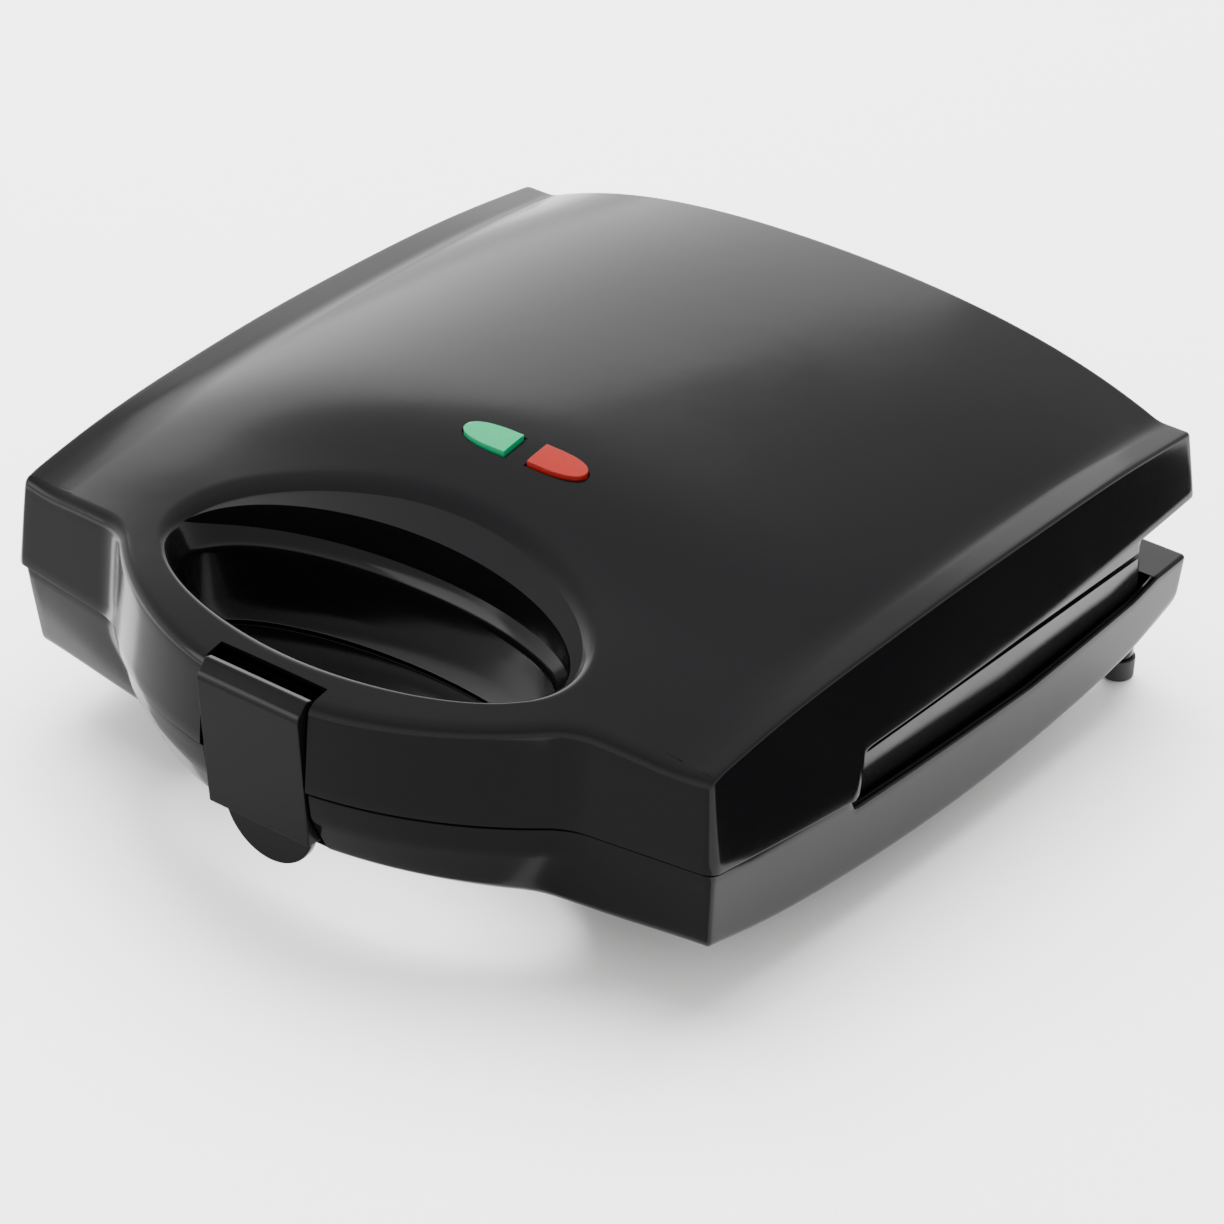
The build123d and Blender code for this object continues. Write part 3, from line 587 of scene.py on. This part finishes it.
# ---------------------------------------------------------------- base cover
# The base's outer moulding: a bellied tray with walls that lean in towards the bottom, a handle ring
# scooped away below, a trough along both sides of the frame and a flat shelf at the hinge.
# from front to back: y, height of the underside at the sides, height of its middle
belly_stations = np.array([(-134, 33, 34), (-109, 27, 27), (-86, 24, 21), (-67, 20.5, 16), (-32, 16.5, 10),
                           (18, 14.5, 7.5), (68, 16.5, 8), (103, 21, 12), (122, 26, 19), (140, 32, 27)])
belly = crowned(smooth_line(belly_stations[:, 0], belly_stations[:, 1]),
                smooth_line(belly_stations[:, 0], belly_stations[:, 2]))
joint_gap, trough_depth, floor_thick, shelf_edge, shelf_height = 0.8, 4.0, 2, 106.0, 40.7
# y and height of the base's rim behind the handle
rim_line = np.array([(-31, 38.4), (46, 36.4), (95, 38.6), (106, 40.7), (134, 40.7)])
base_rim_line = np.vstack([joint_line - (0, joint_gap), rim_line])
# heights of the base's wall, with how far it lies inside the outline and how far the nose draws back
base_levels = [(4, 6.776, 14.0), (41, 2.928, 0.0), (53, 1.68, 0.0)]
base_outlines = np.stack([both_halves(*casing_outline(i, pull))[0] for _, i, pull in base_levels])
frame_side, frame_back = 111.8, 104.8
throat_round = 3.0


def base_wall(height, extra=0.0):
    """Plan of the base's wall at each column's height."""
    height = np.broadcast_to(height, len(outline_0))[:, None]
    bottom, middle, top = [level for level, _, _ in base_levels]
    low = base_outlines[0] + (base_outlines[1] - base_outlines[0]) * (height - bottom) / (middle - bottom)
    high = base_outlines[1] + (base_outlines[2] - base_outlines[1]) * (height - middle) / (top - middle)
    return np.where(height < middle, low, high) + inward * extra


def belly_edge(extra=0.0, lift=0.0):
    """Plan and height where the base's wall meets its belly, found by steps from a first guess."""
    height = np.full(len(outline_0), 20.0)
    for _ in range(8):
        plan = base_wall(height, extra)
        height = belly(plan[:, 0], plan[:, 1]) + lift
    return plan, height


def towards_grip(plan):
    """Unit vectors from plan points towards the middle of the handle's opening."""
    way = np.array([0.0, grip_middle]) - plan
    return way / np.linalg.norm(way, axis=1)[:, None]


rim = np.interp(outline_0[:, 1], base_rim_line[:, 0], base_rim_line[:, 1])
heel, heel_height = belly_edge()
heel_round = 2.4 + 2.8 * eased(outline_0[:, 1], 96, 122)
# near the rear corners the belly's rounding runs towards the handle, so that its lines don't cross
corner_share = eased(outline_0[:, 1], 100, 115)[:, None]
heel_in = heel + (inward * (1 - corner_share) + towards_grip(heel) * corner_share) * heel_round[:, None]
# the outer wall and its lip
base_rings = []
for share in np.linspace(0, 1, 10):
    height = heel_height + heel_round + (rim - lip_round - heel_height - heel_round) * share
    base_rings.append(with_height(base_wall(height), height))
lip_middle = with_height(base_wall(rim, shell_wall / 2), rim)
base_rings += bend(base_rings[-1], with_height(base_wall(rim), rim), lip_middle, 3)
base_rings.append(lip_middle)
# behind the handle the wall drops inside to the trough, or at the hinge to the flat shelf
has_trough = outline_0[:, 1] > rim_line[0, 0]
on_shelf = outline_0[:, 1] > shelf_edge
trough_floor = np.interp(outline_0[:, 1], rim_line[:3, 0], rim_line[:3, 1]) - trough_depth
inner_level = np.where(has_trough, np.where(on_shelf, rim - 0.05, trough_floor), rim - 5)
lip_inner = with_height(base_wall(rim, shell_wall), np.where(on_shelf, rim, rim - lip_round))
base_rings += bend(lip_middle, with_height(base_wall(rim, shell_wall), rim), lip_inner, 2)
base_rings.append(lip_inner)
step_plan = base_wall(inner_level, shell_wall)
base_rings.append(with_height(step_plan, inner_level))
way = towards_grip(step_plan)
to_shelf_edge = np.where(on_shelf, (shelf_edge - step_plan[:, 1]) / np.minimum(way[:, 1], -0.01), 0)
shelf_lip = step_plan + way * to_shelf_edge[:, None]
base_rings.append(with_height(shelf_lip, inner_level))
floor_level = np.where(has_trough, trough_floor, rim - 6)
base_rings.append(with_height(shelf_lip, floor_level))
# the trough's floor runs in to the opening that the frame stands in
step_x, step_y = step_plan.T
side_travel = (frame_side - np.abs(step_x)) / np.minimum(way[:, 0] * np.sign(step_x), -0.01)
back_travel = (frame_back - step_y) / np.minimum(way[:, 1], -0.01)
travel = np.where(has_trough, np.maximum(np.where(np.abs(step_x) > frame_side, side_travel, 0),
                                         np.where(step_y > frame_back, back_travel, 0)), 0)
opening = step_plan + way * travel[:, None]
floor_rise = np.where(has_trough & ~on_shelf, 2.6, 0.0)
for share in (0.15, 0.35, 0.55, 0.7, 0.85, 1.0):
    plan = shelf_lip + (opening - shelf_lip) * share
    base_rings.append(with_height(plan, floor_level + floor_rise * share ** 2))
# under the floor, down the wall's inside, over the belly's inside to the throat
under_floor = floor_level - floor_thick
base_rings.append(with_height(opening, under_floor))
base_rings.append(with_height(base_wall(under_floor, shell_wall), under_floor))
inner_heel, inner_heel_height = belly_edge(shell_wall, shell_wall)
for share in (0.3, 0.6, 0.9):
    height = under_floor + (inner_heel_height + 1 - under_floor) * share
    base_rings.append(with_height(base_wall(height, shell_wall), height))
for share in np.linspace(0, 1, 14):
    plan = inner_heel + (inner_throat - inner_heel) * share
    base_rings.append(with_height(plan, belly(plan[:, 0], plan[:, 1]) + shell_wall))
base_throat_top = np.interp(throat_plan[:, 1], joint_line[:, 0], joint_line[:, 1]) - joint_gap
throat_low = belly(throat_plan[:, 0], throat_plan[:, 1])
throat_back_low = throat_low + shell_wall + 2
for share in np.linspace(0, 1, 4):
    height = throat_back_low + (base_throat_top - lip_round - throat_back_low) * share
    base_rings.append(with_height(throat_back, height))
throat_lip = with_height(throat_middle_plan, base_throat_top)
base_rings += bend(base_rings[-1], with_height(throat_back, base_throat_top), throat_lip, 2)
base_rings.append(throat_lip)
# down the throat, round into the belly and out to the heel
lip_low = with_height(throat_plan, base_throat_top - lip_round)
base_rings += bend(throat_lip, with_height(throat_plan, base_throat_top), lip_low, 2)
for share in np.linspace(0, 1, 6):
    height = base_throat_top - lip_round + (throat_low + throat_round - base_throat_top + lip_round) * share
    base_rings.append(with_height(throat_plan, height))
spread = heel_in - throat_plan
spread_length = np.linalg.norm(spread, axis=1)[:, None]
belly_start = throat_plan + spread / spread_length * throat_round
belly_start = with_height(belly_start, belly(belly_start[:, 0], belly_start[:, 1]))
base_rings += bend(base_rings[-1], with_height(throat_plan, throat_low), belly_start, 4)
for share in np.linspace(0, 1, 30):
    plan = belly_start[:, :2] + (heel_in - belly_start[:, :2]) * share
    base_rings.append(with_height(plan, belly(plan[:, 0], plan[:, 1])))
base_rings += bend(base_rings[-1], with_height(heel, heel_height), base_rings[0], 7)
base_cover = closed_shell("base_cover", base_rings)
base_cover.data.materials.append(piano_black)
cut(base_cover, notch_cutter(-10, 80))
smoothed(base_cover, 32)
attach(base_cover, "base")
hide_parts("lower_cover")

base_notch = notch_walls("base_notch_walls", lambda x, y: float(belly(x, y)) + 1.2, lambda x, y: 47.6,
                         lambda x: nose_front(x, 7.2, 5.6))
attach(base_notch, "base")

# ---------------------------------------------------------------- hinge knuckles and foot bosses
# Moulded with the covers: two barrels at each side of the base with one of the lid's between them,
# the flat top of the rear shelf, a round pad for the cord gland, and the bosses that the feet push into.
hinge_y, hinge_z, knuckle_radius, pin_radius = 119.0, 49.5, 5.0, 2.05
lid_knuckle, base_knuckles, web_top, shelf_under = (64.4, 73.6), ((58.0, 64.0), (74.0, 80.0)), 66.0, 38.1
gland_height, gland_neck_radius, pad_radius, pad_front, pad_rear = 32.0, 5.0, 7.0, 116.5, 121.4
# each foot's place and the height of its boss, which narrows downwards
foot_places = ((-99.5, 114, 27.0), (99.5, 114, 27.0), (-72, -30, 19.0), (72, -30, 19.0))
foot_height, boss_radius, boss_spread = 6.5, 3.9, 0.3


def rod(name, start, end, radius, edge=0.0, sides=64):
    """A round bar between two points in millimetres, its end edges rounded by a radius."""
    way = Vector(end) - Vector(start)
    middle = (Vector(start) + Vector(end)) / 2 * mm
    turn = way.to_track_quat("Z", "Y").to_euler()
    bpy.ops.mesh.primitive_cylinder_add(vertices=sides, radius=radius * mm, depth=way.length * mm,
                                        location=middle, rotation=turn)
    made = bpy.context.object
    made.name = name
    bpy.ops.object.transform_apply(location=True, rotation=True, scale=True)
    if edge:
        modifier = made.modifiers.new("edge", "BEVEL")
        modifier.width, modifier.segments, modifier.limit_method = edge * mm, 3, "ANGLE"
        modifier.angle_limit = math.radians(50)
        bpy.ops.object.modifier_apply(modifier=modifier.name)
    return made


def knuckle(x_from, x_to, web_low, web_high, web_rear):
    """One barrel of the hinge with the web that joins it to its cover, bored for the pin."""
    barrel = rod("barrel", (x_from, hinge_y, hinge_z), (x_to, hinge_y, hinge_z), knuckle_radius, 0.3)
    web = block("web", (x_from + 0.01, hinge_y - knuckle_radius + 0.02, web_low),
                (x_to - 0.01, web_rear, web_high))
    combine(barrel, web, "UNION")
    cut(barrel, rod("bore", (x_from - 2, hinge_y, hinge_z), (x_to + 2, hinge_y, hinge_z), pin_radius, 0, 40))
    return barrel


lid_knuckles = welded("lid_knuckles", [
    knuckle(*sorted((side * lid_knuckle[0], side * lid_knuckle[1])), hinge_z, web_top, hinge_y + 2)
    for side in (-1, 1)])
base_fittings = [knuckle(*sorted((side * inner, side * outer)), shelf_under, hinge_z, hinge_y + 4.3)
                 for inner, outer in base_knuckles for side in (-1, 1)]
for x, y, top in foot_places:
    boss = rod("boss", (x, y, foot_height), (x, y, top), boss_radius, 0.4)
    for vertex in boss.data.vertices:
        share = (vertex.co.z / mm - foot_height) / (top - foot_height)
        vertex.co.x += (vertex.co.x - x * mm) * boss_spread * share
        vertex.co.y += (vertex.co.y - y * mm) * boss_spread * share
    base_fittings.append(boss)
# the shelf's flat top runs between its front edge and a line halfway in the rear wall, anticlockwise
shelf_line = [point for point in base_wall(rim, 1.3) if point[1] > shelf_edge + 0.5]
shelf_line.sort(key=lambda point: math.atan2(point[0], point[1] - 60), reverse=True)
shelf_side, shelf_front = shelf_line[0][0], shelf_edge - 0.2
base_fittings.append(prism("shelf", [(-shelf_side, shelf_front), (shelf_side, shelf_front)] + shelf_line,
                           shelf_under, shelf_height + 0.03))
pad = rod("pad", (0, pad_front, gland_height), (0, pad_rear, gland_height), pad_radius, 0.5)
cut(pad, rod("bore", (0, 100, gland_height), (0, 130, gland_height), gland_neck_radius, 0, 48))
base_fittings = welded("base_fittings", base_fittings + [pad])
for piece, body in ((lid_knuckles, "lid"), (base_fittings, "base")):
    piece.data.materials.clear()
    piece.data.materials.append(piano_black)
    smoothed(piece, 35)
    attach(piece, body)

# ---------------------------------------------------------------- latch clip
# The clip that snaps under the base's handle: the same polished black ABS, rolled over at its top,
# with a half-round finger tab at its foot. It swings on a steel pin across the notch.


def flat_faces(piece):
    """Smooth shading across rounded edges, with the large faces kept flat."""
    smoothed(piece, 32)
    modifier = piece.modifiers.new("flat", "WEIGHTED_NORMAL")
    modifier.keep_sharp, modifier.weight = True, 100
    bpy.ops.object.modifier_apply(modifier=modifier.name)


def finished(node_name, edge, material, body, angle=30):
    """A piece on the lines of a plain solid: its mesh welded, its sharp edges rounded by the given
    radius in millimetres as its mould or press leaves them."""
    piece = bpy.data.objects.new(node_name + "_piece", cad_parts[node_name].data.copy())
    bpy.context.scene.collection.objects.link(piece)
    bpy.ops.object.select_all(action="DESELECT")
    piece.select_set(True)
    bpy.context.view_layer.objects.active = piece
    bpy.ops.mesh.customdata_custom_splitnormals_clear()
    bpy.ops.object.mode_set(mode="EDIT")
    bpy.ops.mesh.select_all(action="SELECT")
    bpy.ops.mesh.remove_doubles(threshold=2e-6)
    bpy.ops.mesh.dissolve_limited(angle_limit=math.radians(0.4))
    bpy.ops.object.mode_set(mode="OBJECT")
    if edge:
        modifier = piece.modifiers.new("edge", "BEVEL")
        modifier.width, modifier.segments, modifier.limit_method = edge * mm, 2, "ANGLE"
        modifier.angle_limit = math.radians(angle)
        bpy.ops.object.modifier_apply(modifier=modifier.name)
    piece.data.materials.clear()
    piece.data.materials.append(material)
    flat_faces(piece)
    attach(piece, body)
    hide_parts(node_name)
    return piece


finished("latch_clip", 0.35, piano_black, "latch")


def grained(name, tones, rough, grain, depth, settings):
    """A material whose tone, gloss and relief vary with a grain of a size and depth in millimetres."""
    material, tree, shader = new_material(name, settings)
    place = node(tree, "ShaderNodeTexCoord")
    noise = node(tree, "ShaderNodeTexNoise", {"Scale": 1 / (grain * mm), "Detail": 3.0},
                 Vector=place.outputs["Object"])
    broad = node(tree, "ShaderNodeTexNoise", {"Scale": 25.0, "Detail": 3.0}, Vector=place.outputs["Object"])
    tone = node(tree, "ShaderNodeMix", {"data_type": "RGBA", 6: linear(tones[0]), 7: linear(tones[1])},
                in0=noise.outputs["Fac"])
    gloss = node(tree, "ShaderNodeMapRange", {"From Min": 0.35, "From Max": 0.65, "To Min": rough[0],
                                              "To Max": rough[1]}, Value=broad.outputs["Fac"])
    relief = node(tree, "ShaderNodeBump", {"Strength": 0.4, "Distance": depth * mm},
                  Height=noise.outputs["Fac"])
    tree.links.new(tone.outputs[2], shader.inputs["Base Color"])
    tree.links.new(gloss.outputs["Result"], shader.inputs["Roughness"])
    tree.links.new(relief.outputs["Normal"], shader.inputs["Normal"])
    return material


# ---------------------------------------------------------------- lenses
# Two tinted polycarbonate lenses, polished, standing a little proud of the roof. The tint is in the
# plastic, so light scatters in it and the colour stays strong at the edges.
for colour, tones in (("green", ("#04734a", "#0c8457")), ("red", ("#6c110b", "#7b1611"))):
    tinted = grained("tinted_polycarbonate_" + colour, tones, (0.12, 0.2), 0.9, 0.03, {
        "IOR": 1.5, "Specular IOR Level": 0.25, "Subsurface Weight": 0.12, "Subsurface Scale": 0.001})
    finished("indicator_lens_" + colour, 0.3, tinted, "lid")

# ---------------------------------------------------------------- frames and handle liners
# Black heat-resistant nylon, moulded in a spark-eroded tool: a fine even grain and a low satin gloss.
# The frames carry the plates; the liners close the handle ring along the joint.
satin_nylon = grained("black_spark_grained_nylon", ("#141415", "#1a1a1b"), (0.2, 0.28), 0.8, 0.02, {
    "IOR": 1.53})
for side, body in (("upper", "lid"), ("lower", "base")):
    finished(side + "_frame", 0.5, satin_nylon, body)
    finished(side + "_handle_liner", 0.3, satin_nylon, body)

# ---------------------------------------------------------------- mould plates
# Die-cast aluminium under a dark non-stick coating, sprayed on, so it is slightly pebbled and has a
# soft sheen with fine lighter flecks. Four bosses behind take the screws of the heat shield.
non_stick = grained("non_stick_coating", ("#1d1e20", "#303236"), (0.3, 0.42), 0.5, 0.02, {
    "IOR": 1.4, "Coat Weight": 0.15, "Coat Roughness": 0.3})
for side, body in (("upper", "lid"), ("lower", "base")):
    finished(side + "_plate", 0.4, non_stick, body, 40)

# ---------------------------------------------------------------- heaters, shields and fasteners
# Behind the plates: an annealed steel tube heater with plated ends, a bright aluminised sheet that
# throws the heat back, and zinc-plated screws and pins.
metal = {"Metallic": 1.0}
annealed_tube = grained("annealed_steel_tube", ("#5c544b", "#786d5f"), (0.35, 0.5), 3.0, 0.01, metal)
mill_sheet = grained("aluminised_sheet", ("#b3b5b8", "#c9cbcd"), (0.22, 0.36), 6.0, 0.01, metal)
zinc_plate = grained("zinc_plated_steel", ("#a4a6a8", "#bcbec0"), (0.22, 0.34), 1.2, 0.01, metal)
for side, body in (("upper", "lid"), ("lower", "base")):
    finished(side + "_heating_element", 0, annealed_tube, body)
    finished(side + "_heater_terminals", 0.2, zinc_plate, body)
    finished(side + "_heat_shield", 0.15, mill_sheet, body)
    finished(side + "_plate_screws", 0, zinc_plate, body)
    finished(side + "_frame_screws", 0, zinc_plate, body)
finished("latch_pin", 0.2, zinc_plate, "lid")
finished("hinge_pin_left", 0.2, zinc_plate, "base")
finished("hinge_pin_right", 0.2, zinc_plate, "base")
finished("fuse_clip", 0.1, zinc_plate, "lid")

# ---------------------------------------------------------------- lamps and controls
# Under the lenses two clear neon lamps lie in a cream nylon holder; on the plate's back sit a ceramic
# thermostat and a small drawn-can fuse.
cream_nylon = grained("cream_nylon", ("#d9d2bd", "#e4decb"), (0.4, 0.5), 1.0, 0.02, {
    "Subsurface Weight": 0.05})
clear_glass = grained("clear_lamp_glass", ("#e9ece8", "#f2f4f1"), (0.03, 0.06), 4.0, 0.01, {
    "Transmission Weight": 0.9, "IOR": 1.5})
steatite = grained("unglazed_steatite", ("#cfc8b8", "#dfd9ca"), (0.55, 0.7), 0.7, 0.03, {"IOR": 1.55})
drawn_can = grained("drawn_aluminium_can", ("#aba9a3", "#bbb9b3"), (0.28, 0.4), 1.5, 0.01, metal)
brass = grained("turned_brass", ("#c19a45", "#d4af5c"), (0.2, 0.32), 1.0, 0.01, metal)
finished("lamp_holder", 0.25, cream_nylon, "lid")
finished("indicator_lamps", 0.6, clear_glass, "lid")
finished("thermostat", 0.2, steatite, "lid")
finished("thermal_fuse", 0.15, drawn_can, "lid")
finished("terminal_block", 0.25, cream_nylon, "base")
finished("terminal_screws", 0.2, brass, "base")

# ---------------------------------------------------------------- feet and cord gland
# Black rubber, moulded matt: four round feet pushed into the base's bosses, and the bush that
# lines the hole for the lead in the rear wall.
rubber = grained("matt_black_rubber", ("#111111", "#191919"), (0.65, 0.8), 0.6, 0.04, {"IOR": 1.52})
finished("rubber_feet", 0.3, rubber, "base")
finished("cord_gland", 0.3, rubber, "base")
